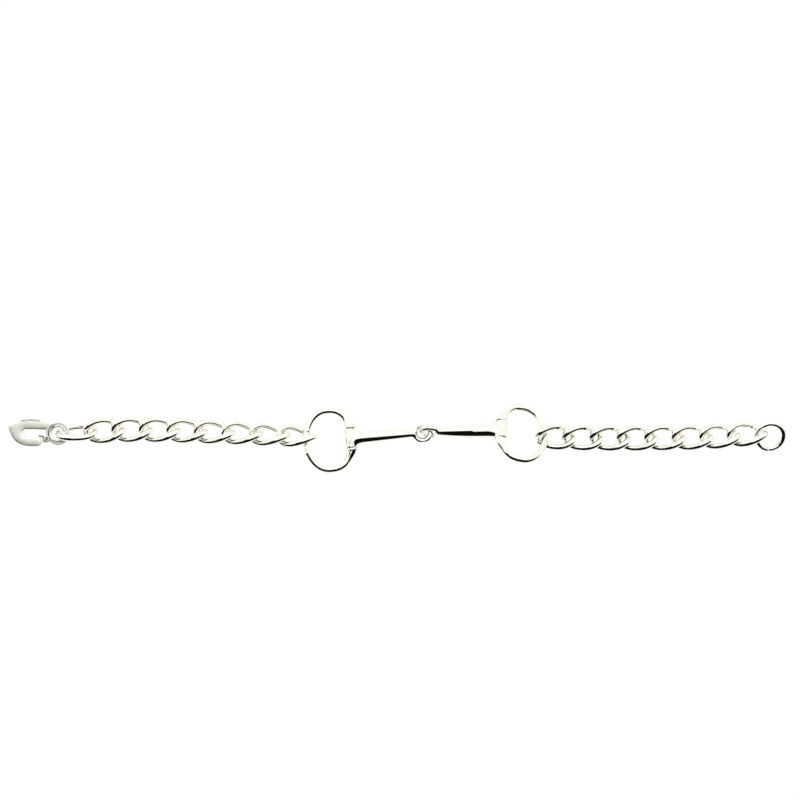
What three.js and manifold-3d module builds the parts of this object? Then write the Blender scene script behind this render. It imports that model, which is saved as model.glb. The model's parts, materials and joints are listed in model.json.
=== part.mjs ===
// A chain bracelet whose centrepiece is a small jointed snaffle bit.
// Two mouthpiece halves are hooked together at their eyes, and each carries an oval cheek
// ring that turns in its barrel. A run of curb chain leaves each ring. The left run ends in
// a lobster clasp, and the right run in the jump ring that the clasp closes on.
// Millimetres. X runs along the bracelet from clasp to jump ring, Y across it, Z up.

import * as THREE from 'three';
import { mergeVertices } from 'three/addons/utils/BufferGeometryUtils.js';
import Module from 'manifold-3d';

const wasm = await Module();
wasm.setup();

const deg = THREE.MathUtils.degToRad;

// Curb chain: twisted oval links of round wire.
const LINK_WIRE_RADIUS = 0.86;
const LINK_HALF_LENGTH = 4.45;
const LINK_HALF_WIDTH = 2.5;
const LINK_ROUNDNESS = 2.4;
const LINK_TWIST = deg(45);
const END_LINK_TWIST = deg(54);
const LINK_PITCH = 6.72;
const LEFT_LINKS = 9;
const RIGHT_LINKS = 8;
const WIRE_CLEARANCE = 0.4;
const JUMP_CLEARANCE = 0.5;

// Snaffle bit: mouthpiece halves, measured from the middle of the eye to the barrel's axis.
const MOUTH_LENGTH = 17.6;
const EYE_RADIUS = 1.9;
const EYE_WIRE_RADIUS = 0.65;
const BARREL_RADIUS = 1.45;
const BARREL_HALF_LENGTH = 2.15;
const BARREL_BORE_RADIUS = 0.95;
const LEFT_CANNON = { root: 1.75, neck: 0.95, fullness: 1.2, eyeTurn: 0 };
const RIGHT_CANNON = { root: 1.88, neck: 0.95, fullness: 3, eyeTurn: deg(90) };

// Cheek ring: an oval of wire that thickens into a shoulder at each end of the barrel.
const RING_REACH = 10.8;
const RING_HALF_HEIGHT = 7.2;
const RING_WIRE_RADIUS = 0.93;
const RING_FLATNESS = 2.6;
const SHOULDER_START = 2.35;
const SHOULDER_END = 5.6;
const SHOULDER_HALF_WIDTH = 1.5;
const SHOULDER_HALF_THICKNESS = 1.35;
const SHOULDER_OFFSET = 0.4;
const PIN_RADIUS = 0.65;

// Jump ring at the right end: round wire with its two ends butted together.
const JUMP_RADIUS = 3.3;
const JUMP_WIRE_RADIUS = 0.65;
const JUMP_SPLIT = deg(5);

// Lobster clasp, measured from the middle of its eye, with its hook towards -X.
const CLASP_TOP = 1.15;
const CLASP_BOTTOM = -2.3;
const CLASP_BEVEL = 0.12;
const CLASP_EYE_HOLE = 1.6;
const CLASP_EYE_RADIUS = 2.8;
const CLASP_EYE_HALF_THICKNESS = 0.4;
const CLASP_SLOT_RADIUS = 0.92;
const HOOK_TIP_RADIUS = 1.05;
const LEVER_PIVOT = new THREE.Vector2(-2.6, -1.3);
const CHEEK_RADIUS = 0.72;
const LEVER_ROOT_RADIUS = 0.52;
const LEVER_MIDDLE = -0.3;
const LEVER_THICKNESS = 1.0;
const SLIT_THICKNESS = 1.4;
const LEVER_PIN_RADIUS = 0.25;
const LEVER_BORE_RADIUS = 0.32;
const SPRING_RADIUS = 0.28;
const SPRING_WIRE_RADIUS = 0.09;
const SPRING_TURNS = 4;
const SPRING_LENGTH = 0.95;

// How it lies: the chain and the left half flat, the right half rolled onto its ring's edge.
const AXIS_HEIGHT = 2.2;
const LEFT_EYE = new THREE.Vector3(5.45, -0.12, AXIS_HEIGHT);
const LEFT_ROLL = deg(4);
const LEFT_SWING = deg(184.4);
const RIGHT_EYE = new THREE.Vector3(7.15, 0.1, AXIS_HEIGHT + 0.15);
const RIGHT_ROLL = deg(-28);
const RIGHT_PITCH = deg(-9);
const RIGHT_SWING = deg(1);
const RIGHT_RING_TURN = deg(21);
const LEFT_ROUTE = [
  new THREE.Vector3(-22.75, -1.05, AXIS_HEIGHT),
  new THREE.Vector3(-45, 0.1, AXIS_HEIGHT - 0.35),
  new THREE.Vector3(-66, 0.65, AXIS_HEIGHT - 0.6),
  new THREE.Vector3(-84.5, -0.35, AXIS_HEIGHT - 0.05),
];
const RIGHT_ROUTE = [
  new THREE.Vector3(35.25, -1.05, 3.2),
  new THREE.Vector3(44, -1.3, AXIS_HEIGHT + 0.05),
  new THREE.Vector3(60, -1.35, AXIS_HEIGHT - 0.7),
  new THREE.Vector3(76, -1.0, AXIS_HEIGHT - 0.4),
  new THREE.Vector3(90, 0.1, AXIS_HEIGHT - 0.3),
];
const JUMP_ROLL = deg(22);
const JUMP_PITCH = deg(8);
const JUMP_SWING = deg(-14);

// The links are rolled by the rings that they hook on, and the roll fades link by link.
const LEFT_RING_ROLL = deg(-44);
const CLASP_ROLL = deg(-4);
const RIGHT_RING_ROLL = deg(13);
const JUMP_RING_ROLL = deg(-24);

// Fineness of the solids.
const WIRE_SIDES = 8;
const LINK_STEPS = 24;
const ROUND_SIDES = 14;

const CHROME = { color: 0xdfdedb, roughness: 0.08, metalness: 1 };
const SATIN = { color: 0xc9c8c2, roughness: 0.32, metalness: 1 };
const STEEL = { color: 0x8d8981, roughness: 0.4, metalness: 1 };

function named(name, geometry, finish) {
  const mesh = new THREE.Mesh(geometry, new THREE.MeshStandardMaterial(finish));
  mesh.name = name;
  return mesh;
}

// A geometry reduced to positions with shared corners, ready to be a solid.
function bare(geometry) {
  const copy = geometry.clone();
  copy.deleteAttribute('normal');
  copy.deleteAttribute('uv');
  return mergeVertices(copy, 1e-5);
}

function solid(geometry) {
  const body = bare(geometry);
  return new wasm.Manifold(new wasm.Mesh({
    numProp: 3,
    vertProperties: new Float32Array(body.attributes.position.array),
    triVerts: new Uint32Array(body.index.array),
  }));
}

function geometryOf(manifold) {
  const mesh = manifold.getMesh();
  const geometry = new THREE.BufferGeometry();
  geometry.setAttribute('position', new THREE.BufferAttribute(mesh.vertProperties, 3));
  geometry.setIndex(new THREE.BufferAttribute(mesh.triVerts, 1));
  return geometry;
}

// The corners of an oval, counterclockwise about across x up.
function oval(centre, across, up, halfWidth, halfHeight, sides) {
  const corners = [];
  for (let i = 0; i < sides; i += 1) {
    const angle = 2 * Math.PI * i / sides;
    const corner = centre.clone();
    corner.addScaledVector(across, halfWidth * Math.cos(angle));
    corner.addScaledVector(up, halfHeight * Math.sin(angle));
    corners.push(corner);
  }
  return corners;
}

// A closed body through a row of sections, each counterclockwise about the way it travels.
function loft(sections) {
  const sides = sections[0].length;
  const last = (sections.length - 1) * sides;
  const index = [];
  for (let start = 0; start < last; start += sides) {
    for (let i = 0; i < sides; i += 1) {
      const a = start + i;
      const b = start + (i + 1) % sides;
      index.push(a, b, a + sides, b, b + sides, a + sides);
    }
  }
  for (let i = 1; i < sides - 1; i += 1) {
    index.push(0, i + 1, i, last, last + i, last + i + 1);
  }
  const geometry = new THREE.BufferGeometry();
  geometry.setFromPoints(sections.flat());
  geometry.setIndex(index);
  return geometry;
}

function cylinderAlongY(radius, halfLength, sides) {
  return new THREE.CylinderGeometry(radius, radius, 2 * halfLength, sides);
}

function cylinderAlongZ(radius, low, high, sides) {
  const geometry = new THREE.CylinderGeometry(radius, radius, high - low, sides);
  return geometry.rotateX(Math.PI / 2).translate(0, 0, (low + high) / 2);
}

const signedPower = (value, power) => Math.sign(value) * Math.abs(value) ** power;

// The centreline of a link: an oval whose plane turns about X from one end to the other.
class LinkCurve extends THREE.Curve {
  constructor(leftTwist, rightTwist) {
    super();
    this.leftTwist = leftTwist;
    this.rightTwist = rightTwist;
  }

  getPoint(t, target = new THREE.Vector3()) {
    const angle = 2 * Math.PI * t;
    const along = signedPower(Math.cos(angle), 2 / LINK_ROUNDNESS);
    const aside = LINK_HALF_WIDTH * signedPower(Math.sin(angle), 2 / LINK_ROUNDNESS);
    const twist = THREE.MathUtils.lerp(this.leftTwist, this.rightTwist, (along + 1) / 2);
    const x = LINK_HALF_LENGTH * along;
    return target.set(x, aside * Math.cos(twist), aside * Math.sin(twist));
  }
}

function linkGeometry(leftTwist, rightTwist) {
  const curve = new LinkCurve(leftTwist, rightTwist);
  return new THREE.TubeGeometry(curve, LINK_STEPS, LINK_WIRE_RADIUS, WIRE_SIDES, true);
}

// Half a mouthpiece: its eye is at the origin, and its barrel at +X with a bore along Y.
function cannonGeometry({ root, neck, fullness, eyeTurn }) {
  const across = new THREE.Vector3(0, 1, 0);
  const up = new THREE.Vector3(0, 0, 1);
  const length = MOUTH_LENGTH - EYE_RADIUS;
  const steps = 14;
  const sections = [];
  for (let i = 0; i <= steps; i += 1) {
    const fromEye = i / steps;
    const taper = root - (root - neck) * (1 - fromEye) ** fullness;
    const flare = THREE.MathUtils.smoothstep(fromEye, 0.8, 1);
    const halfWidth = THREE.MathUtils.lerp(taper, BARREL_HALF_LENGTH - 0.05, flare);
    const halfHeight = THREE.MathUtils.lerp(taper, BARREL_RADIUS - 0.05, flare);
    const centre = new THREE.Vector3(EYE_RADIUS + length * fromEye, 0, 0);
    sections.push(oval(centre, across, up, halfWidth, halfHeight, ROUND_SIDES));
  }
  const eye = new THREE.TorusGeometry(EYE_RADIUS, EYE_WIRE_RADIUS, 8, 20).rotateX(eyeTurn);
  const barrel = cylinderAlongY(BARREL_RADIUS, BARREL_HALF_LENGTH, 20);
  const bore = cylinderAlongY(BARREL_BORE_RADIUS, BARREL_HALF_LENGTH + 1, 20);
  barrel.translate(MOUTH_LENGTH, 0, 0);
  bore.translate(MOUTH_LENGTH, 0, 0);
  const body = solid(loft(sections)).add(solid(eye)).add(solid(barrel));
  return geometryOf(body.subtract(solid(bore)));
}

// The middle of the ring's wire, from one end of the barrel (0) round to the other (1).
function ringPoint(turn) {
  const halfReach = RING_REACH / 2;
  const start = Math.asin((SHOULDER_START / RING_HALF_HEIGHT) ** (RING_FLATNESS / 2));
  const angle = THREE.MathUtils.lerp(-Math.PI + start, Math.PI - start, turn);
  const power = Math.cos(angle) < 0 ? 2 / RING_FLATNESS : 1;
  const out = halfReach * (1 + signedPower(Math.cos(angle), power));
  const along = RING_HALF_HEIGHT * signedPower(Math.sin(angle), power);
  return new THREE.Vector3(out, along, 0);
}

// The cheek ring turns about the origin's Y axis and reaches out along +X.
function ringGeometry() {
  const steps = 36;
  const up = new THREE.Vector3(0, 0, 1);
  const sections = [];
  for (let i = 0; i <= steps; i += 1) {
    const turn = i / steps;
    const centre = ringPoint(turn);
    const atEnd = i === 0 || i === steps;
    const travel = atEnd
      ? new THREE.Vector3(0, -1, 0)
      : ringPoint(turn + 0.01).sub(ringPoint(turn - 0.01)).normalize();
    const outward = new THREE.Vector3().crossVectors(travel, up);
    const nearBarrel = centre.x < RING_REACH / 2
      ? 1 - THREE.MathUtils.smoothstep(Math.abs(centre.y), SHOULDER_START, SHOULDER_END)
      : 0;
    const width = THREE.MathUtils.lerp(RING_WIRE_RADIUS, SHOULDER_HALF_WIDTH, nearBarrel);
    const height = THREE.MathUtils.lerp(RING_WIRE_RADIUS, SHOULDER_HALF_THICKNESS, nearBarrel);
    centre.x -= SHOULDER_OFFSET * nearBarrel;
    sections.push(oval(centre, up, outward, height, width, 10));
  }
  const pin = cylinderAlongY(PIN_RADIUS, SHOULDER_START + 1, 16);
  return geometryOf(solid(loft(sections)).add(solid(pin)));
}

class ArcCurve extends THREE.Curve {
  constructor(radius, from, to) {
    super();
    this.radius = radius;
    this.from = from;
    this.to = to;
  }

  getPoint(t, target = new THREE.Vector3()) {
    const angle = THREE.MathUtils.lerp(this.from, this.to, t);
    return target.set(this.radius * Math.cos(angle), this.radius * Math.sin(angle), 0);
  }
}

class CoilCurve extends THREE.Curve {
  constructor(radius, turns, length) {
    super();
    this.radius = radius;
    this.turns = turns;
    this.length = length;
  }

  getPoint(t, target = new THREE.Vector3()) {
    const angle = 2 * Math.PI * this.turns * t;
    const x = this.radius * Math.cos(angle);
    const z = this.radius * Math.sin(angle);
    return target.set(x, this.length * (t - 0.5), z);
  }
}

function wireAlong(curve, radius, steps, sides) {
  const section = new THREE.Shape();
  for (let i = 0; i < sides; i += 1) {
    const angle = 2 * Math.PI * i / sides;
    const corner = [radius * Math.cos(angle), radius * Math.sin(angle)];
    if (i === 0) {
      section.moveTo(...corner);
    } else {
      section.lineTo(...corner);
    }
  }
  return new THREE.ExtrudeGeometry(section, { steps, extrudePath: curve });
}

// The thick part of the clasp in plan: back, nose, hook, slot and the leg that holds the lever.
function claspOutline() {
  const { x: pivotX, y: pivotY } = LEVER_PIVOT;
  const shape = new THREE.Shape();
  shape.moveTo(-1.0, 2.6);
  shape.bezierCurveTo(-3.2, 3.3, -8.8, 4.6, -12.1, 1.75);
  shape.bezierCurveTo(-11.6, 0.2, -11.0, -3.1, -6.4, -3.1);
  shape.absarc(-4.95, -3.1 + HOOK_TIP_RADIUS, HOOK_TIP_RADIUS, -Math.PI / 2, deg(80), false);
  shape.absarc(-7.75, 0.15, CLASP_SLOT_RADIUS, -Math.PI / 2, Math.PI / 2, true);
  shape.lineTo(-2.95, 0.95);
  shape.lineTo(-2.85, -0.6);
  shape.absarc(pivotX, pivotY, CHEEK_RADIUS, deg(150), deg(330), false);
  shape.absarc(0, 0, 2.05, deg(228), deg(115), true);
  return shape;
}

// The flat eye as a turned ring, with a raised rim on top round the hole.
function claspEyeGeometry() {
  const half = CLASP_EYE_HALF_THICKNESS;
  const hole = CLASP_EYE_HOLE;
  const rim = CLASP_EYE_RADIUS;
  const profile = [
    [hole, -half + 0.2], [hole + 0.2, -half], [rim - 0.25, -half], [rim, -half + 0.2],
    [rim, half - 0.2], [rim - 0.25, half], [hole + 0.6, half], [hole + 0.5, half + 0.15],
    [hole + 0.3, half + 0.15], [hole, half - 0.2],
  ];
  const points = profile.map(([radius, height]) => new THREE.Vector2(radius, height));
  points.push(points[0].clone());
  return new THREE.LatheGeometry(points, 28).rotateX(Math.PI / 2);
}

function claspBodyGeometry() {
  const depth = CLASP_TOP - CLASP_BOTTOM - 2 * CLASP_BEVEL;
  const body = new THREE.ExtrudeGeometry(claspOutline(), {
    depth,
    curveSegments: 8,
    bevelEnabled: true,
    bevelThickness: CLASP_BEVEL,
    bevelSize: CLASP_BEVEL,
    bevelOffset: -CLASP_BEVEL,
    bevelSegments: 2,
  });
  body.translate(0, 0, CLASP_BOTTOM + CLASP_BEVEL);
  const slit = new THREE.BoxGeometry(1.7, 3.4, SLIT_THICKNESS);
  slit.translate(-2.8, -0.95, LEVER_MIDDLE);
  const bore = cylinderAlongZ(LEVER_BORE_RADIUS, CLASP_BOTTOM - 1, CLASP_TOP + 1, 12);
  bore.translate(LEVER_PIVOT.x, LEVER_PIVOT.y, 0);
  const whole = solid(body).add(solid(claspEyeGeometry()));
  return geometryOf(whole.subtract(solid(slit)).subtract(solid(bore)));
}

function claspLeverGeometry() {
  const { x: pivotX, y: pivotY } = LEVER_PIVOT;
  const shape = new THREE.Shape();
  shape.moveTo(-4.8, -0.72);
  shape.lineTo(-3.8, -1.0);
  shape.quadraticCurveTo(-3.7, -1.7, -3.35, -2.15);
  shape.lineTo(pivotX, -2.15);
  shape.lineTo(pivotX + 0.35, pivotY - 0.4);
  shape.absarc(pivotX, pivotY, LEVER_ROOT_RADIUS, deg(-30), deg(90), false);
  shape.quadraticCurveTo(-3.85, -0.5, -4.75, -0.3);
  const bore = new THREE.Path();
  bore.absarc(pivotX, pivotY, LEVER_BORE_RADIUS, 0, 2 * Math.PI, true);
  shape.holes.push(bore);
  const lever = new THREE.ExtrudeGeometry(shape, {
    depth: LEVER_THICKNESS,
    curveSegments: 6,
    bevelEnabled: false,
  });
  return lever.translate(0, 0, LEVER_MIDDLE - LEVER_THICKNESS / 2);
}

function leverPinGeometry() {
  const pin = cylinderAlongZ(LEVER_PIN_RADIUS, CLASP_BOTTOM + 0.1, CLASP_TOP - 0.1, 12);
  return pin.translate(LEVER_PIVOT.x, LEVER_PIVOT.y, 0);
}

function leverSpringGeometry() {
  const coil = new CoilCurve(SPRING_RADIUS, SPRING_TURNS, SPRING_LENGTH);
  const spring = wireAlong(coil, SPRING_WIRE_RADIUS, 12 * SPRING_TURNS, 6);
  return spring.translate(-2.38, 0.02, LEVER_MIDDLE);
}

// A group at a place on a route, with its +X along the bracelet and its +Z upward.
function stationOn(route, distance, facing) {
  const place = distance / route.getLength();
  const along = route.getTangentAt(place).multiplyScalar(facing);
  const across = new THREE.Vector3(0, 0, 1).cross(along).normalize();
  const up = new THREE.Vector3().crossVectors(along, across);
  const station = new THREE.Group();
  station.position.copy(route.getPointAt(place));
  station.setRotationFromMatrix(new THREE.Matrix4().makeBasis(along, across, up));
  return station;
}

// Where a link's middle lies when its end loops round a wire at the start of the route.
function hookedOn(wireRadius, clearance) {
  return LINK_HALF_LENGTH - LINK_WIRE_RADIUS - wireRadius - clearance;
}

function buildHalf(side, spec) {
  const half = new THREE.Group();
  half.add(named(`${side}_mouthpiece`, cannonGeometry(spec), CHROME));
  const ring = new THREE.Group();
  ring.position.x = MOUTH_LENGTH;
  ring.add(named(`${side}_cheek_ring`, ringGeometry(), CHROME));
  half.add(ring);
  return { half, ring };
}

function buildBit(bracelet) {
  const left = buildHalf('left', LEFT_CANNON);
  left.half.position.copy(LEFT_EYE);
  left.half.rotation.set(LEFT_ROLL, 0, LEFT_SWING, 'ZYX');
  const right = buildHalf('right', RIGHT_CANNON);
  right.half.position.copy(RIGHT_EYE);
  right.half.rotation.set(RIGHT_ROLL, RIGHT_PITCH, RIGHT_SWING, 'ZYX');
  right.ring.rotation.y = RIGHT_RING_TURN;
  bracelet.add(left.half, right.half);
}

// Links are counted from left to right in both runs, so left_link_1 holds the clasp.
function buildLeftChain(bracelet) {
  const route = new THREE.CatmullRomCurve3(LEFT_ROUTE);
  const first = hookedOn(RING_WIRE_RADIUS, WIRE_CLEARANCE);
  for (let number = LEFT_LINKS; number >= 1; number -= 1) {
    const distance = first + (LEFT_LINKS - number) * LINK_PITCH;
    const station = stationOn(route, distance, -1);
    const fromClasp = (number - 1) / (LEFT_LINKS - 1);
    station.rotateX(THREE.MathUtils.lerp(CLASP_ROLL, LEFT_RING_ROLL, fromClasp));
    const leftTwist = number === 1 ? -END_LINK_TWIST : LINK_TWIST;
    const geometry = linkGeometry(leftTwist, -LINK_TWIST);
    station.add(named(`left_link_${number}`, geometry, CHROME));
    bracelet.add(station);
  }
  const eyeDistance = first + (LEFT_LINKS - 1) * LINK_PITCH + LINK_HALF_LENGTH;
  buildClasp(bracelet, stationOn(route, eyeDistance, -1));
}

function buildClasp(bracelet, station) {
  station.rotation.set(0, 0, 0);
  station.add(named('clasp_body', claspBodyGeometry(), SATIN));
  station.add(named('clasp_lever', claspLeverGeometry(), STEEL));
  station.add(named('clasp_lever_pin', leverPinGeometry(), STEEL));
  station.add(named('clasp_lever_spring', leverSpringGeometry(), STEEL));
  bracelet.add(station);
}

function buildRightChain(bracelet) {
  const route = new THREE.CatmullRomCurve3(RIGHT_ROUTE);
  const first = hookedOn(RING_WIRE_RADIUS, WIRE_CLEARANCE);
  for (let number = 1; number <= RIGHT_LINKS; number += 1) {
    const station = stationOn(route, first + (number - 1) * LINK_PITCH, 1);
    const fromRing = (number - 1) / (RIGHT_LINKS - 1);
    station.rotateX(THREE.MathUtils.lerp(RIGHT_RING_ROLL, JUMP_RING_ROLL, fromRing));
    const geometry = linkGeometry(LINK_TWIST, -LINK_TWIST);
    station.add(named(`right_link_${number}`, geometry, CHROME));
    bracelet.add(station);
  }
  const lastMiddle = first + (RIGHT_LINKS - 1) * LINK_PITCH;
  const hookDistance = lastMiddle + hookedOn(JUMP_WIRE_RADIUS, JUMP_CLEARANCE);
  const hook = stationOn(route, hookDistance, 1);
  hook.rotation.set(JUMP_ROLL, JUMP_PITCH, JUMP_SWING, 'ZYX');
  const arc = new ArcCurve(JUMP_RADIUS, deg(-70) + JUMP_SPLIT / 2, deg(290) - JUMP_SPLIT / 2);
  const jump = named('end_jump_ring', wireAlong(arc, JUMP_WIRE_RADIUS, 32, WIRE_SIDES), CHROME);
  jump.position.x = JUMP_RADIUS;
  hook.add(jump);
  bracelet.add(hook);
}

// Sets the group down with its box centred on X and Y and its lowest point at Z = 0.
function settle(bracelet) {
  bracelet.updateMatrixWorld(true);
  const box = new THREE.Box3().setFromObject(bracelet, true);
  const middle = box.getCenter(new THREE.Vector3());
  bracelet.position.set(-middle.x, -middle.y, -box.min.z);
}

const bracelet = new THREE.Group();
buildBit(bracelet);
buildLeftChain(bracelet);
buildRightChain(bracelet);
settle(bracelet);

export default bracelet;
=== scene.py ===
import json
import math

import bmesh
import bpy
import numpy as np
from mathutils import Matrix, Vector


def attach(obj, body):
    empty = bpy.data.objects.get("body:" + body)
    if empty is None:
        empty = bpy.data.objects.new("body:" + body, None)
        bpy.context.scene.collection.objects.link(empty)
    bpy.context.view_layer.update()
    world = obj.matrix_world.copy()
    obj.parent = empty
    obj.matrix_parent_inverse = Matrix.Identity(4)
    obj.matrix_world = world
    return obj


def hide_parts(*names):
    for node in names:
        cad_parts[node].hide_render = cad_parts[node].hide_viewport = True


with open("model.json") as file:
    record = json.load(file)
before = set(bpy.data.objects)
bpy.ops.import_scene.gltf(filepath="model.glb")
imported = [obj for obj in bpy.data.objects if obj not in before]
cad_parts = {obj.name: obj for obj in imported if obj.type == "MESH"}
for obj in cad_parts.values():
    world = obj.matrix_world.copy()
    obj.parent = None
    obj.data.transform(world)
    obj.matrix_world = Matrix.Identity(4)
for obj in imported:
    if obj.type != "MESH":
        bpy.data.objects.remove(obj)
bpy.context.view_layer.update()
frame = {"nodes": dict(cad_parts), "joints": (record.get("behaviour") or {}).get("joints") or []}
MM = 0.001

# Sizes in millimetres, after the CAD model. Wires are given by their radius. The link wire is
# thinner than the CAD model's, so that bent links stay clear of each other.
LINK_WIRE = 0.8
LINK_HALF_LENGTH = 4.45
LINK_HALF_WIDTH = 2.5
LINK_ROUNDNESS = 2.4
MOUTH_LENGTH = 17.6
EYE_RADIUS = 1.9
EYE_WIRE = 0.65
BARREL_RADIUS = 1.45
BARREL_HALF = 2.15
BARREL_STANDOFF = 0.12
BORE_RADIUS = 0.95
RING_REACH = 10.8
RING_HALF_HEIGHT = 7.2
RING_WIRE = 0.93
RING_FLATNESS = 2.6
SHOULDER_START = 2.35
SHOULDER_END = 5.6
SHOULDER_HALF_WIDTH = 1.5
SHOULDER_HALF_THICKNESS = 1.35
SHOULDER_OFFSET = 0.4
PIN_RADIUS = 0.65
JUMP_RADIUS = 3.3
JUMP_WIRE = 0.65
CLASP_TOP = 1.15
CLASP_BOTTOM = -2.3
CLASP_EYE_HOLE = 1.6
CLASP_EYE_RADIUS = 2.8
CLASP_EYE_MOAT = 0.66
LEVER_PIVOT = np.array([-2.6, -1.3])
LEVER_MIDDLE = -0.3
LEVER_BORE = 0.32
LEVER_PIN = 0.25
SPRING_WIRE = 0.09
SPRING_TURNS = 4

CANNON_CELL = 0.13
CLASP_CELL = 0.11
LEVER_CELL = 0.06

joints = {joint["name"]: joint for joint in frame["joints"]}


def vec(values):
    return np.array(values, float)


def unit(v):
    return v / np.linalg.norm(v)


def node_points(name):
    """The corner points of a CAD node, in metres."""
    return np.array([v.co for v in frame["nodes"][name].data.vertices], float)


def volume_centre(name):
    """The centre of volume of a CAD node, in metres."""
    mesh = frame["nodes"][name].data
    mesh.calc_loop_triangles()
    points = node_points(name)
    tris = np.array([t.vertices for t in mesh.loop_triangles])
    a, b, c = points[tris[:, 0]], points[tris[:, 1]], points[tris[:, 2]]
    volume = np.einsum("ij,ij->i", a, np.cross(b, c))
    return ((a + b + c) / 4 * volume[:, None]).sum(0) / volume.sum()


def placed(x, y, origin):
    """The matrix of a local frame, in metres, from its X and Y directions."""
    x = unit(x)
    z = unit(np.cross(x, y))
    y = np.cross(z, x)
    rows = np.column_stack([x, y, z, origin])
    return Matrix([list(row) for row in rows] + [[0, 0, 0, 1]])


def principal(name):
    """Local frame of a node along its own principal axes, longest first."""
    points = node_points(name)
    centre = points.mean(0)
    _, vectors = np.linalg.eigh(np.cov((points - centre).T))
    x, y = vectors[:, 2], vectors[:, 1]
    if x[0] < 0:
        x = -x
    return placed(x, y, centre)


# --- meshes -----------------------------------------------------------------


def make(name, points, faces, matrix, body, nodes, material):
    """A smooth closed piece from local points in millimetres, riding a body of the frame."""
    mesh = bpy.data.meshes.new(name)
    turn = np.array(matrix.to_3x3())
    place = (np.asarray(points) * MM) @ turn.T + np.array(matrix.translation)
    mesh.from_pydata(place.tolist(), [], faces)
    mesh.validate()
    closed = bmesh.new()
    closed.from_mesh(mesh)
    bmesh.ops.recalc_face_normals(closed, faces=closed.faces)
    closed.to_mesh(mesh)
    closed.free()
    mesh.polygons.foreach_set("use_smooth", [True] * len(mesh.polygons))
    mesh.update()
    piece = bpy.data.objects.new(name, mesh)
    bpy.context.scene.collection.objects.link(piece)
    mesh.materials.append(material)
    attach(piece, body)
    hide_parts(*nodes)
    return piece


def grid_faces(rings, sides, closed):
    """The quads between rings of points that follow each other."""
    faces = []
    for i in range(rings if closed else rings - 1):
        a, b = i * sides, ((i + 1) % rings) * sides
        for k in range(sides):
            n = (k + 1) % sides
            faces.append((a + k, a + n, b + n, b + k))
    return faces


def circle(sides):
    """The cosines and sines of evenly spaced angles."""
    angle = np.arange(sides) * 2 * np.pi / sides
    return np.cos(angle), np.sin(angle)


def closed_wire(centres, radii, sides):
    """A closed round wire. The section's twist is spread evenly so that its ends meet."""
    n = len(centres)
    travel = np.roll(centres, -1, 0) - np.roll(centres, 1, 0)
    travel /= np.linalg.norm(travel, axis=1)[:, None]
    normals = np.zeros_like(centres)
    normals[0] = unit(np.cross(travel[0], [0.3, 0.2, 1.0]))
    for i in range(1, n):
        v = normals[i - 1] - travel[i] * (normals[i - 1] @ travel[i])
        normals[i] = unit(v)
    last = normals[-1] - travel[0] * (normals[-1] @ travel[0])
    last = unit(last)
    sine = np.cross(last, normals[0]) @ travel[0]
    slip = math.atan2(sine, last @ normals[0])
    points = []
    cos, sin = circle(sides)
    for i in range(n):
        across = np.cross(travel[i], normals[i])
        turn = slip * i / n
        c = cos * math.cos(turn) - sin * math.sin(turn)
        s = sin * math.cos(turn) + cos * math.sin(turn)
        points.append(centres[i] + radii[i] * (c[:, None] * normals[i] + s[:, None] * across))
    return np.concatenate(points), grid_faces(n, sides, True)


def open_wire(centres, radius, sides, bevel):
    """An open round wire with flat ends that are bevelled a little."""
    n = len(centres)
    travel = np.gradient(centres, axis=0)
    travel /= np.linalg.norm(travel, axis=1)[:, None]
    normal = unit(np.cross(travel[0], [0.01, 0.02, 1.0]))
    cos, sin = circle(sides)
    points = []

    def ring(centre, direction, normal, r):
        across = np.cross(direction, normal)
        points.append(centre + r * (cos[:, None] * normal + sin[:, None] * across))

    for i in range(n):
        normal = unit(normal - travel[i] * (normal @ travel[i]))
        if i == 0:
            ring(centres[0] - travel[0] * bevel, travel[0], normal, radius - bevel)
        ring(centres[i], travel[i], normal, radius)
        if i == n - 1:
            ring(centres[-1] + travel[-1] * bevel, travel[-1], normal, radius - bevel)
    faces = grid_faces(n + 2, sides, False)
    faces.append(tuple(range(sides))[::-1])
    faces.append(tuple((n + 1) * sides + k for k in range(sides)))
    return np.concatenate(points), faces


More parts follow.
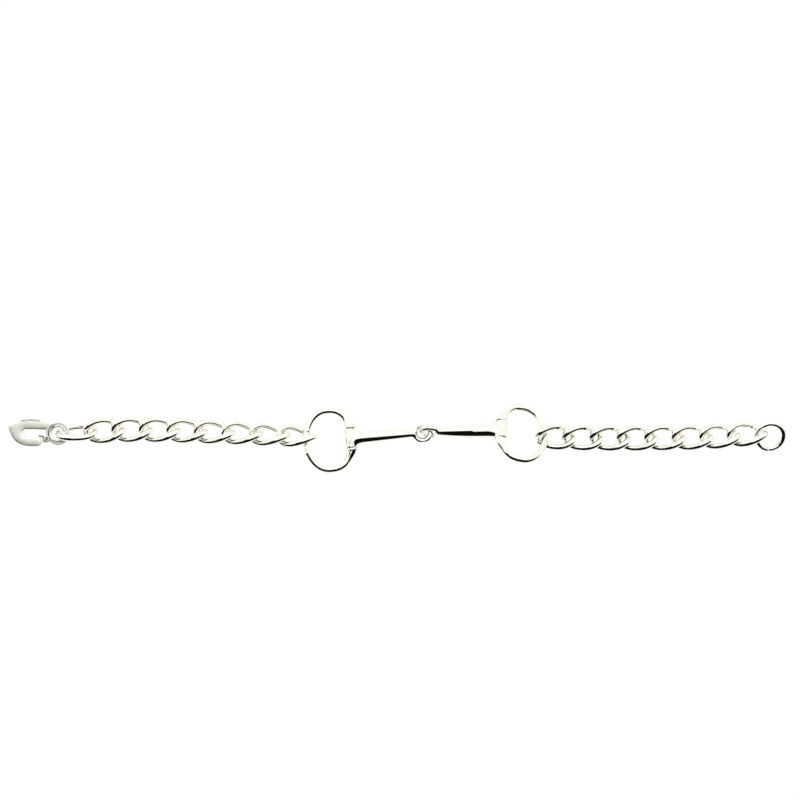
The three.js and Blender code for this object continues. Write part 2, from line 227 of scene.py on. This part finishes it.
def surface(field, low, high, cell):
    """The zero surface of a distance field, as a smooth mesh of mostly quads."""
    axes = [np.arange(a, b + cell, cell) for a, b in zip(low, high)]
    shape = [len(a) for a in axes]
    grid = np.stack(np.meshgrid(*axes, indexing="ij"), -1)
    values = field(grid.reshape(-1, 3)).reshape(shape)
    inside = values < 0
    cells = [n - 1 for n in shape]
    total, count = np.zeros(cells + [3]), np.zeros(cells)
    crossings = []
    for axis in range(3):
        head = [slice(None)] * 3
        tail = [slice(None)] * 3
        head[axis], tail[axis] = slice(None, -1), slice(1, None)
        head, tail = tuple(head), tuple(tail)
        cross = inside[head] != inside[tail]
        crossings.append(cross)
        gap = values[head] - values[tail]
        t = np.where(cross, values[head] / np.where(gap == 0, 1, gap), 0)
        where = grid[head] + t[..., None] * (grid[tail] - grid[head])
        where = where * cross[..., None]
        others = [k for k in range(3) if k != axis]
        for first in (slice(None, -1), slice(1, None)):
            for second in (slice(None, -1), slice(1, None)):
                pick = [slice(None)] * 3
                pick[others[0]], pick[others[1]] = first, second
                total += where[tuple(pick)]
                count += cross[tuple(pick)]
    used = count > 0
    index = -np.ones(cells, int)
    index[used] = np.arange(used.sum())
    points = total[used] / count[used][:, None]
    faces = []
    for axis in range(3):
        b, c = (axis + 1) % 3, (axis + 2) % 3
        where = np.argwhere(crossings[axis])
        keep = (where[:, b] > 0) & (where[:, c] > 0)
        keep &= (where[:, b] < shape[b] - 1) & (where[:, c] < shape[c] - 1)
        where = where[keep]
        corners = []
        for db, dc in ((-1, -1), (0, -1), (0, 0), (-1, 0)):
            at = where.copy()
            at[:, b] += db
            at[:, c] += dc
            corners.append(index[at[:, 0], at[:, 1], at[:, 2]])
        quads = np.stack(corners, 1)
        outwards = inside[where[:, 0], where[:, 1], where[:, 2]]
        quads[~outwards] = quads[~outwards][:, ::-1]
        faces.append(quads)
    faces = np.concatenate(faces)
    neighbours = np.concatenate([faces[:, [k, (k + 1) % 4]] for k in range(4)])
    neighbours = np.concatenate([neighbours, neighbours[:, ::-1]])
    degree = np.bincount(neighbours[:, 0], minlength=len(points))[:, None]
    for _ in range(3):
        moved = np.zeros_like(points)
        np.add.at(moved, neighbours[:, 0], points[neighbours[:, 1]])
        points = 0.4 * points + 0.6 * moved / degree
        points = onto(field, points)
    return onto(field, points), faces.tolist()


def onto(field, points):
    """The points moved along the field's slope to its zero surface."""
    reach = 0.02
    for _ in range(2):
        value = field(points)
        slope = np.zeros_like(points)
        for axis in range(3):
            step = np.zeros(3)
            step[axis] = reach
            slope[:, axis] = (field(points + step) - field(points - step)) / (2 * reach)
        size = (slope**2).sum(1)
        points = points - slope * (value / np.maximum(size, 0.05))[:, None]
    return points


def smooth_min(a, b, k):
    """The smaller of two fields, rounded over where they are within k of each other."""
    h = np.maximum(k - np.abs(a - b), 0) / k
    return np.minimum(a, b) - h * h * k / 4


def smooth_max(a, b, k):
    return -smooth_min(-a, -b, k)


def smoothstep(x, low, high):
    t = np.clip((x - low) / (high - low), 0, 1)
    return t * t * (3 - 2 * t)


# --- materials --------------------------------------------------------------


def metal(name, light, dark, rough, grain, scratch, patch):
    """Polished metal: slow tone changes, fine grain in the gloss and hairline scratches."""
    material = bpy.data.materials.new(name)
    material.use_nodes = True
    nodes, links = material.node_tree.nodes, material.node_tree.links
    shader = nodes["Principled BSDF"]
    shader.inputs["Metallic"].default_value = 1.0
    coords = nodes.new("ShaderNodeTexCoord")
    tone = nodes.new("ShaderNodeTexNoise")
    tone.inputs["Scale"].default_value = patch
    tone.inputs["Detail"].default_value = 4.0
    links.new(coords.outputs["Object"], tone.inputs["Vector"])
    ramp = nodes.new("ShaderNodeValToRGB")
    ramp.color_ramp.elements[0].position = 0.32
    ramp.color_ramp.elements[0].color = (*dark, 1)
    ramp.color_ramp.elements[1].position = 0.62
    ramp.color_ramp.elements[1].color = (*light, 1)
    links.new(tone.outputs["Fac"], ramp.inputs["Fac"])
    links.new(ramp.outputs["Color"], shader.inputs["Base Color"])
    smudge = nodes.new("ShaderNodeTexNoise")
    smudge.inputs["Scale"].default_value = patch * 3.3
    smudge.inputs["Detail"].default_value = 8.0
    smudge.inputs["Roughness"].default_value = 0.7
    links.new(coords.outputs["Object"], smudge.inputs["Vector"])
    gloss = nodes.new("ShaderNodeMapRange")
    gloss.inputs["From Min"].default_value = 0.3
    gloss.inputs["From Max"].default_value = 0.75
    gloss.inputs["To Min"].default_value = rough[0]
    gloss.inputs["To Max"].default_value = rough[1]
    links.new(smudge.outputs["Fac"], gloss.inputs["Value"])
    links.new(gloss.outputs["Result"], shader.inputs["Roughness"])
    stretch = nodes.new("ShaderNodeMapping")
    stretch.inputs["Scale"].default_value = (900.0, 5200.0, 5200.0)
    stretch.inputs["Rotation"].default_value = (0.2, 0.1, 0.5)
    links.new(coords.outputs["Object"], stretch.inputs["Vector"])
    hairs = nodes.new("ShaderNodeTexNoise")
    hairs.inputs["Scale"].default_value = 1.0
    hairs.inputs["Detail"].default_value = 3.0
    links.new(stretch.outputs["Vector"], hairs.inputs["Vector"])
    pits = nodes.new("ShaderNodeTexNoise")
    pits.inputs["Scale"].default_value = 2600.0
    pits.inputs["Detail"].default_value = 6.0
    links.new(coords.outputs["Object"], pits.inputs["Vector"])
    first = nodes.new("ShaderNodeBump")
    first.inputs["Strength"].default_value = scratch
    first.inputs["Distance"].default_value = 0.00002
    links.new(hairs.outputs["Fac"], first.inputs["Height"])
    second = nodes.new("ShaderNodeBump")
    second.inputs["Strength"].default_value = grain
    second.inputs["Distance"].default_value = 0.00003
    links.new(pits.outputs["Fac"], second.inputs["Height"])
    links.new(first.outputs["Normal"], second.inputs["Normal"])
    links.new(second.outputs["Normal"], shader.inputs["Normal"])
    return material


polished = metal(
    "polished_silver",
    light=(0.965, 0.962, 0.89),
    dark=(0.93, 0.925, 0.84),
    rough=(0.02, 0.05),
    grain=0.012,
    scratch=0.012,
    patch=260.0,
)
satin = metal(
    "satin_clasp",
    light=(0.96, 0.965, 0.885),
    dark=(0.92, 0.925, 0.845),
    rough=(0.3, 0.38),
    grain=0.02,
    scratch=0.02,
    patch=330.0,
)
steel = metal(
    "spring_steel",
    light=(0.5, 0.48, 0.43),
    dark=(0.36, 0.34, 0.3),
    rough=(0.25, 0.42),
    grain=0.3,
    scratch=0.3,
    patch=500.0,
)


# --- chain links ------------------------------------------------------------


def power(value, exponent):
    """A power that keeps the sign."""
    return np.sign(value) * np.abs(value) ** exponent


def link_mesh(left_twist, right_twist):
    """A link: a rounded oval of wire, twisted about its length, soldered on one side strand."""
    n = 144
    seam = 36
    angle = 2 * np.pi * np.arange(n) / n
    along = power(np.cos(angle), 2 / LINK_ROUNDNESS)
    aside = LINK_HALF_WIDTH * power(np.sin(angle), 2 / LINK_ROUNDNESS)
    twist = left_twist + (right_twist - left_twist) * (along + 1) / 2
    centres = np.column_stack(
        [LINK_HALF_LENGTH * along, aside * np.cos(twist), aside * np.sin(twist)]
    )
    for _ in range(3):
        centres = 0.5 * centres + 0.25 * (np.roll(centres, 1, 0) + np.roll(centres, -1, 0))
    step = np.linalg.norm(np.roll(centres, -1, 0) - centres, axis=1)
    distance = np.concatenate([[0], np.cumsum(step)])
    even = np.linspace(0, distance[-1], n, endpoint=False)
    ring = np.vstack([centres, centres[:1]])
    centres = np.column_stack([np.interp(even, distance, ring[:, k]) for k in range(3)])
    # The soldered joint: a faint swell with a hairline groove along its middle.
    away = np.abs(np.arange(n) - seam)
    away = np.minimum(away, n - away)
    swell = 0.015 * np.exp(-((away / 3.0) ** 2))
    groove = 0.03 * np.exp(-(away**2) / 0.5)
    radii = LINK_WIRE + swell - groove
    return closed_wire(centres, radii, 24)


def build_link(name, left_twist, right_twist):
    points, faces = link_mesh(left_twist, right_twist)
    matrix = principal(name)
    make(f"{name}_wire", points, faces, matrix, name, [name], polished)


# Each link is twisted a quarter turn from end to end. The one at the clasp is nearly flat and
# twists the other way.
curb_twist = math.radians(45)
flat_twist = math.radians(4.5)
build_link("left_link_1", -flat_twist, flat_twist)
for number in range(2, 10):
    build_link(f"left_link_{number}", curb_twist, -curb_twist)
for number in range(1, 9):
    build_link(f"right_link_{number}", curb_twist, -curb_twist)


# --- cheek rings ------------------------------------------------------------


def ring_point(turn):
    """A point of the ring's middle line, for a turn of 0 to 1 from one shoulder to the other."""
    start = math.asin((SHOULDER_START / RING_HALF_HEIGHT) ** (RING_FLATNESS / 2))
    angle = -math.pi + start + turn * 2 * (math.pi - start)
    exponent = 2 / RING_FLATNESS if math.cos(angle) < 0 else 1
    out = RING_REACH / 2 * (1 + power(math.cos(angle), exponent))
    return np.array([out, RING_HALF_HEIGHT * power(math.sin(angle), exponent), 0])


def ring_mesh():
    """One closed run of sections: round the ring, then back along the pin in the barrel."""
    steps, sides = 180, 32
    cos, sin = circle(sides)
    up = np.array([0.0, 0.0, 1.0])
    away = np.array([0.0, -1.0, 0.0])
    sections = []

    def section(centre, outward, height, width):
        sections.append(centre + cos[:, None] * up * height + sin[:, None] * outward * width)

    for i in range(1, steps):
        turn = i / steps
        centre = ring_point(turn)
        travel = unit(ring_point(min(turn + 0.006, 1)) - ring_point(max(turn - 0.006, 0)))
        straight = max(1 - min(turn, 1 - turn) / 0.03, 0)
        travel = unit(travel * (1 - straight) + away * straight)
        near = 0.0
        if centre[0] < RING_REACH / 2:
            near = 1 - smoothstep(abs(centre[1]), SHOULDER_START, SHOULDER_END)
        width = RING_WIRE + (SHOULDER_HALF_WIDTH - RING_WIRE) * near
        height = RING_WIRE + (SHOULDER_HALF_THICKNESS - RING_WIRE) * near
        # A turned bead stands round the shoulder just outside the barrel.
        bead = 0.08 * math.exp(-(((abs(centre[1]) - 2.75) / 0.16) ** 2))
        centre = centre - np.array([SHOULDER_OFFSET * near, 0, 0])
        section(centre, np.cross(travel, up), height + bead, width + bead - 0.05)
    inward = np.array([-1.0, 0.0, 0.0])
    high = ring_point(1) - np.array([SHOULDER_OFFSET, 0, 0])
    low = ring_point(0) - np.array([SHOULDER_OFFSET, 0, 0])
    for shrink in (0.97, 0.9, 0.75):
        section(high, inward, SHOULDER_HALF_THICKNESS * shrink, SHOULDER_HALF_WIDTH * shrink)
    for y in np.linspace(high[1], low[1], 9):
        section(np.array([0.0, y, 0.0]), inward, PIN_RADIUS, PIN_RADIUS)
    for shrink in (0.75, 0.9, 0.97):
        section(low, inward, SHOULDER_HALF_THICKNESS * shrink, SHOULDER_HALF_WIDTH * shrink)
    return np.concatenate(sections), grid_faces(len(sections), sides, True)


for side in ("left", "right"):
    pivot = joints[f"{side}_cheek_ring_swing"]
    first = "left_link_9_bend" if side == "left" else "right_link_1_bend"
    reach = vec(joints[first]["pos_m"]) - vec(pivot["pos_m"])
    origin = vec(pivot["pos_m"])
    matrix = placed(reach, -vec(pivot["axis"]), origin)
    points, faces = ring_mesh()
    name = f"{side}_cheek_ring"
    make(f"{name}_cast", points, faces, matrix, name, [name], polished)


# --- mouthpiece halves ------------------------------------------------------


def cannon_field(root, neck, fullness, turned_eye):
    """A tapered mouthpiece half, with an eye at the origin and a bored barrel at its far end."""
    length = MOUTH_LENGTH - EYE_RADIUS

    def field(p):
        x, y, z = p[:, 0], p[:, 1], p[:, 2]
        share = np.clip((x - EYE_RADIUS) / length, 0, 1)
        taper = root - (root - neck) * (1 - share) ** fullness
        flare = smoothstep(share, 0.8, 1)
        wide = taper + (BARREL_HALF - 0.05 - taper) * flare
        high = taper + (BARREL_RADIUS - 0.05 - taper) * flare
        radial = (np.sqrt((y / wide) ** 2 + (z / high) ** 2) - 1) * np.minimum(wide, high)
        start = EYE_RADIUS - 0.2 - x
        cannon = smooth_max(smooth_max(radial, start, 0.5), x - MOUTH_LENGTH, 0.3)
        flat, tall = (z, y) if turned_eye else (y, z)
        ring = np.sqrt(x**2 + flat**2) - EYE_RADIUS
        eye = np.sqrt(ring**2 + tall**2) - EYE_WIRE
        body = smooth_min(cannon, eye, 0.55)
        out = np.sqrt((x - MOUTH_LENGTH) ** 2 + z**2)
        past_end = np.abs(y) - BARREL_HALF - BARREL_STANDOFF
        barrel = smooth_max(out - BARREL_RADIUS, past_end, 0.12)
        body = smooth_min(body, barrel, 0.6)
        # The blend into the barrel may not swell past its flat ends.
        body = smooth_max(body, past_end - 0.01, 0.06)
        body = smooth_max(body, -(out - BORE_RADIUS), 0.12)
        hole = EYE_RADIUS - EYE_WIRE - 0.02 - np.sqrt(x**2 + flat**2)
        inside_eye = smooth_max(hole, np.abs(tall) - 3, 0.1)
        return smooth_max(body, np.where(x < EYE_RADIUS, inside_eye, -9.0), 0.08)

    return field


def build_cannon(side, root, neck, fullness, turned_eye):
    name = f"{side}_mouthpiece"
    pivot = joints[f"{side}_cheek_ring_swing"]
    barrel = vec(pivot["pos_m"])
    along = unit(barrel - volume_centre(name))
    origin = barrel - along * MOUTH_LENGTH * MM
    matrix = placed(along, -vec(pivot["axis"]), origin)
    field = cannon_field(root, neck, fullness, turned_eye)
    points, faces = surface(field, (-3.0, -3.0, -3.0), (19.6, 3.0, 3.0), CANNON_CELL)
    make(f"{name}_cast", points, faces, matrix, name, [name], polished)


build_cannon("left", 1.75, 0.95, 1.2, False)
build_cannon("right", 1.88, 0.95, 3.0, True)


# --- clasp ------------------------------------------------------------------


def bezier(a, b, c, d, n):
    t = np.linspace(0, 1, n)[:, None]
    a, b, c, d = (np.array(v, float) for v in (a, b, c, d))
    return (1 - t) ** 3 * a + 3 * (1 - t) ** 2 * t * b + 3 * (1 - t) * t**2 * c + t**3 * d


def arc(centre, radius, start, end, n):
    """Points along an arc, with its ends in degrees."""
    angle = np.radians(np.linspace(start, end, n))
    return np.column_stack([centre[0] + radius * np.cos(angle), centre[1] + radius * np.sin(angle)])


def clasp_outline():
    """The plan of the clasp body round its back, nose, hook, opening and lever housing."""
    return np.concatenate([
        bezier((-1.0, 2.6), (-3.2, 3.3), (-8.8, 4.6), (-12.1, 1.75), 24),
        bezier((-12.1, 1.75), (-11.6, 0.2), (-11.0, -3.1), (-6.4, -3.1), 24)[1:],
        arc((-4.95, -2.05), 1.05, -90, 80, 14),
        arc((-7.75, 0.15), 0.92, -90, -270, 14),
        [(-2.95, 0.95), (-2.85, -0.6)],
        arc(LEVER_PIVOT, 0.72, 150, 330, 12),
        arc((0, 0), 2.05, 228, 115, 16),
    ])


def polygon_distance(points, outline):
    """Signed distance in the plane from an outline, negative inside."""
    a = outline
    b = np.roll(outline, -1, 0)
    best = np.full(len(points), np.inf)
    odd = np.zeros(len(points), bool)
    for p, q in zip(a, b):
        edge = q - p
        size = edge @ edge
        if size < 1e-12:
            continue
        rel = points - p
        t = np.clip(rel @ edge / size, 0, 1)
        best = np.minimum(best, ((rel - t[:, None] * edge) ** 2).sum(1))
        straddles = (p[1] > points[:, 1]) != (q[1] > points[:, 1])
        if q[1] != p[1]:
            x = p[0] + (points[:, 1] - p[1]) * edge[0] / edge[1]
            odd ^= straddles & (points[:, 0] < x)
    return np.where(odd, -1, 1) * np.sqrt(best)


def rounded_slab(plan, z, low, high, radius):
    """A plate of the plan's shape between two heights, with rounded edges."""
    a = plan + radius
    b = np.abs(z - (low + high) / 2) - (high - low) / 2 + radius
    outside = np.sqrt(np.maximum(a, 0) ** 2 + np.maximum(b, 0) ** 2)
    return np.minimum(np.maximum(a, b), 0) + outside - radius


clasp_shape = clasp_outline()


def lever_bore(p):
    """The distance from the wall of the hole that the lever's pin stands in."""
    return np.sqrt(((p[:, :2] - LEVER_PIVOT) ** 2).sum(1)) - LEVER_BORE


def clasp_field(p):
    """The clasp's cast body with its eye, its slit for the lever and the hole for the pin."""
    x, y, z = p[:, 0], p[:, 1], p[:, 2]
    plan = polygon_distance(p[:, :2], clasp_shape)
    # The cast face is crowned: highest along the middle of each limb.
    crown = CLASP_TOP - 0.16 * np.exp(-np.maximum(-plan, 0) / 0.5)
    body = rounded_slab(plan, z, CLASP_BOTTOM, CLASP_TOP, 0.16)
    body = smooth_max(body, z - crown - 0.04, 0.2)
    # A cut line follows the back edge.
    line = np.maximum(np.abs(plan + 0.34) - 0.17, CLASP_TOP - 0.6 - z)
    ends = np.maximum(np.abs(x + 6.7) - 2.5, 2.3 - y)
    body = smooth_max(body, -np.maximum(line, ends), 0.05)
    # The eye is a thinner plate with a raised rim round its hole and a groove round the rim.
    out = np.sqrt(x**2 + y**2)
    band = np.maximum(CLASP_EYE_HOLE - out, out - CLASP_EYE_RADIUS)
    eye = rounded_slab(band, z, -0.4, 0.4, 0.2)
    rim = np.sqrt((out - CLASP_EYE_HOLE - 0.24) ** 2 + (z - 0.33) ** 2) - 0.3
    eye = smooth_min(eye, rim, 0.12)
    body = smooth_min(body, eye, 0.3)
    moat = np.maximum(np.abs(out - CLASP_EYE_HOLE - CLASP_EYE_MOAT) - 0.14, 0.02 - z)
    body = smooth_max(body, -moat, 0.06)
    # The slit holds the lever and its spring.
    along = np.maximum(-3.65 - x, x + 1.95)
    across = np.maximum(-2.65 - y, y - 0.75)
    slit = np.maximum(np.maximum(along, across), np.abs(z - LEVER_MIDDLE) - 0.7)
    body = smooth_max(body, -slit, 0.08)
    return smooth_max(body, -lever_bore(p), 0.06)


def lever_outline():
    """The plan of the lever: the gate on the left, the thumb tab below and the hub at the pin."""
    x, y = LEVER_PIVOT
    return np.concatenate([
        [(-4.8, -0.72), (-3.8, -1.0), (-3.71, -1.5), (-3.57, -1.9), (-3.35, -2.15)],
        [(x, -2.15), (x + 0.35, y - 0.4)],
        arc((x, y), 0.52, -30, 90, 10),
        [(-3.25, -0.7), (-3.85, -0.5), (-4.3, -0.38), (-4.75, -0.3)],
    ])


lever_shape = lever_outline()


def lever_field(p):
    plan = polygon_distance(p[:, :2], lever_shape)
    body = rounded_slab(plan, p[:, 2], LEVER_MIDDLE - 0.5, LEVER_MIDDLE + 0.5, 0.12)
    return smooth_max(body, -lever_bore(p), 0.04)


press = vec(joints["clasp_lever_press"]["pos_m"])
clasp_origin = press - MM * np.array([LEVER_PIVOT[0], LEVER_PIVOT[1], LEVER_MIDDLE])
at_clasp = placed(np.array([1.0, 0, 0]), np.array([0, 1.0, 0]), clasp_origin)


def build_clasp_piece(name, mesh, body, node, material):
    points, faces = mesh
    make(name, points, faces, at_clasp, body, [node], material)


build_clasp_piece(
    "clasp_body_cast",
    surface(clasp_field, (-12.6, -3.6, -2.8), (3.2, 4.2, 1.6), CLASP_CELL),
    "clasp",
    "clasp_body",
    satin,
)
build_clasp_piece(
    "clasp_lever_stamping",
    surface(lever_field, (-5.4, -2.6, -1.2), (-1.8, 0.0, 0.6), LEVER_CELL),
    "clasp_lever",
    "clasp_lever",
    steel,
)


def pin_mesh():
    """A drawn pin with both ends peened to shallow domes."""
    sides = 24
    cos, sin = circle(sides)
    low, high = CLASP_BOTTOM + 0.06, CLASP_TOP - 0.12
    profile = [(0.1, low), (0.19, low + 0.02), (LEVER_PIN, low + 0.09), (LEVER_PIN, high - 0.09)]
    profile += [(0.19, high - 0.02), (0.1, high)]
    points = np.concatenate(
        [np.column_stack([r * cos, r * sin, np.full(sides, z)]) for r, z in profile]
    )
    faces = grid_faces(len(profile), sides, False)
    faces.append(tuple(range(sides))[::-1])
    faces.append(tuple((len(profile) - 1) * sides + k for k in range(sides)))
    return points + np.array([LEVER_PIVOT[0], LEVER_PIVOT[1], 0]), faces


def spring_mesh():
    """A small coil between the lever and the end of its slit, with its axis along Y."""
    turns = np.linspace(0, 2 * np.pi * SPRING_TURNS, 160)
    radius, length = 0.28, 0.95
    coil = np.column_stack(
        [radius * np.cos(turns), length * (turns / turns[-1] - 0.5), radius * np.sin(turns)]
    )
    return open_wire(coil + np.array([-2.38, 0.02, LEVER_MIDDLE]), SPRING_WIRE, 12, 0.02)


build_clasp_piece(
    "clasp_pin_peened", pin_mesh(), "clasp", "clasp_lever_pin", steel
)
build_clasp_piece(
    "clasp_spring_coil", spring_mesh(), "clasp", "clasp_lever_spring", steel
)


# --- jump ring --------------------------------------------------------------


def jump_frame(name):
    """The jump ring's local frame: X away from the link that holds it, Z up from its face."""
    points = node_points(name)
    _, vectors = np.linalg.eigh(np.cov((points - points.mean(0)).T))
    face_up = vectors[:, 0] * np.sign(vectors[2, 0])
    centre = (points.min(0) + points.max(0)) / 2
    hook = centre - vec(joints[f"{name}_swing"]["pos_m"])
    hook -= face_up * (hook @ face_up)
    return placed(hook, np.cross(face_up, hook), centre)


def jump_ring_mesh():
    """One turn of wire that rises a little, with a narrow gap where it closes."""
    gap_at, half_gap, rise = -70, 2.9, 0.035
    angle = np.radians(np.linspace(gap_at + half_gap, gap_at + 360 - half_gap, 150))
    loop = np.column_stack(
        [JUMP_RADIUS * np.cos(angle), JUMP_RADIUS * np.sin(angle), rise * (angle - 1.9)]
    )
    return open_wire(loop, JUMP_WIRE - 0.005, 24, 0.04)


name = "end_jump_ring"
points, faces = jump_ring_mesh()
matrix = jump_frame(name)
make(f"{name}_wire", points, faces, matrix, name, [name], polished)


# --- floor, light and camera ------------------------------------------------


def plain(name, color, strength):
    """A matt material that glows white with the given strength."""
    material = bpy.data.materials.new(name)
    material.use_nodes = True
    shader = material.node_tree.nodes["Principled BSDF"]
    shader.inputs["Base Color"].default_value = (*color, 1)
    shader.inputs["Roughness"].default_value = 0.9
    shader.inputs["Specular IOR Level"].default_value = 0.0
    shader.inputs["Emission Color"].default_value = (1, 1, 1, 1)
    shader.inputs["Emission Strength"].default_value = strength
    return material


def board(name, corners, material):
    """A flat four-cornered sheet that belongs to the studio, not to the object."""
    mesh = bpy.data.meshes.new(name)
    mesh.from_pydata(corners, [], [(0, 1, 2, 3)])
    mesh.materials.append(material)
    made = bpy.data.objects.new(name, mesh)
    bpy.context.scene.collection.objects.link(made)
    return made


# The floor lies below the reach of the chain, so that no pose dips under it.
level = -0.12
wide = 3.0
board(
    "floor",
    [(-wide, -wide, level), (wide, -wide, level), (wide, wide, level), (-wide, wide, level)],
    plain("floor_white", (0.1, 0.1, 0.1), 0.91),
)

# Dark cards, seen only as reflections in the metal: one stands in front of the bit, one hangs
# high on the left, and a low one stands to the right.
black = plain("card_black", (0.004, 0.004, 0.004), 0.0)
front_card = board(
    "front_card",
    [(-1.5, -0.25, 0.005), (1.5, -0.25, 0.005), (1.5, -0.25, 1.15), (-1.5, -0.25, 1.15)],
    black,
)
high_card = board(
    "high_card",
    [(-0.4, -0.25, 0.5), (-0.16, -0.25, 0.5), (-0.16, 0.02, 0.5), (-0.4, 0.02, 0.5)],
    black,
)
side_card = board(
    "side_card",
    [(0.45, -0.25, 0.005), (0.45, -0.03, 0.005), (0.45, -0.03, 0.35), (0.45, -0.25, 0.35)],
    black,
)
for card in (front_card, high_card, side_card):
    for flag in ("visible_camera", "visible_diffuse", "visible_shadow", "visible_transmission"):
        setattr(card, flag, False)

world = bpy.data.worlds.new("studio")
bpy.context.scene.world = world
world.use_nodes = True
background = world.node_tree.nodes["Background"]
background.inputs["Color"].default_value = (1.0, 0.995, 0.98, 1)
background.inputs["Strength"].default_value = 1.02


def softbox(name, place, size, power):
    light = bpy.data.lights.new(name, "AREA")
    light.shape = "RECTANGLE"
    light.size, light.size_y = size
    light.energy = power
    made = bpy.data.objects.new(name, light)
    made.location = place
    made.rotation_euler = (-Vector(place)).to_track_quat("-Z", "Y").to_euler()
    bpy.context.scene.collection.objects.link(made)


softbox("overhead_softbox", (0.0, 0.5, 0.9), (1.2, 0.5), 1.0)

camera_data = bpy.data.cameras.new("camera")
camera_data.lens = 100
camera_data.sensor_width = 36
camera = bpy.data.objects.new("camera", camera_data)
bpy.context.scene.collection.objects.link(camera)
bpy.context.scene.camera = camera
# The view is this wide at the object, seen from nearly straight above.
view_width = 0.1949
distance = view_width * camera_data.lens / camera_data.sensor_width
elevation = math.radians(87)
target = Vector((0.0006, 0.0094, 0.0024))
camera.location = target + distance * Vector((0, -math.cos(elevation), math.sin(elevation)))
camera.rotation_euler = (target - camera.location).to_track_quat("-Z", "Y").to_euler()
bpy.context.scene.view_settings.view_transform = "Standard"
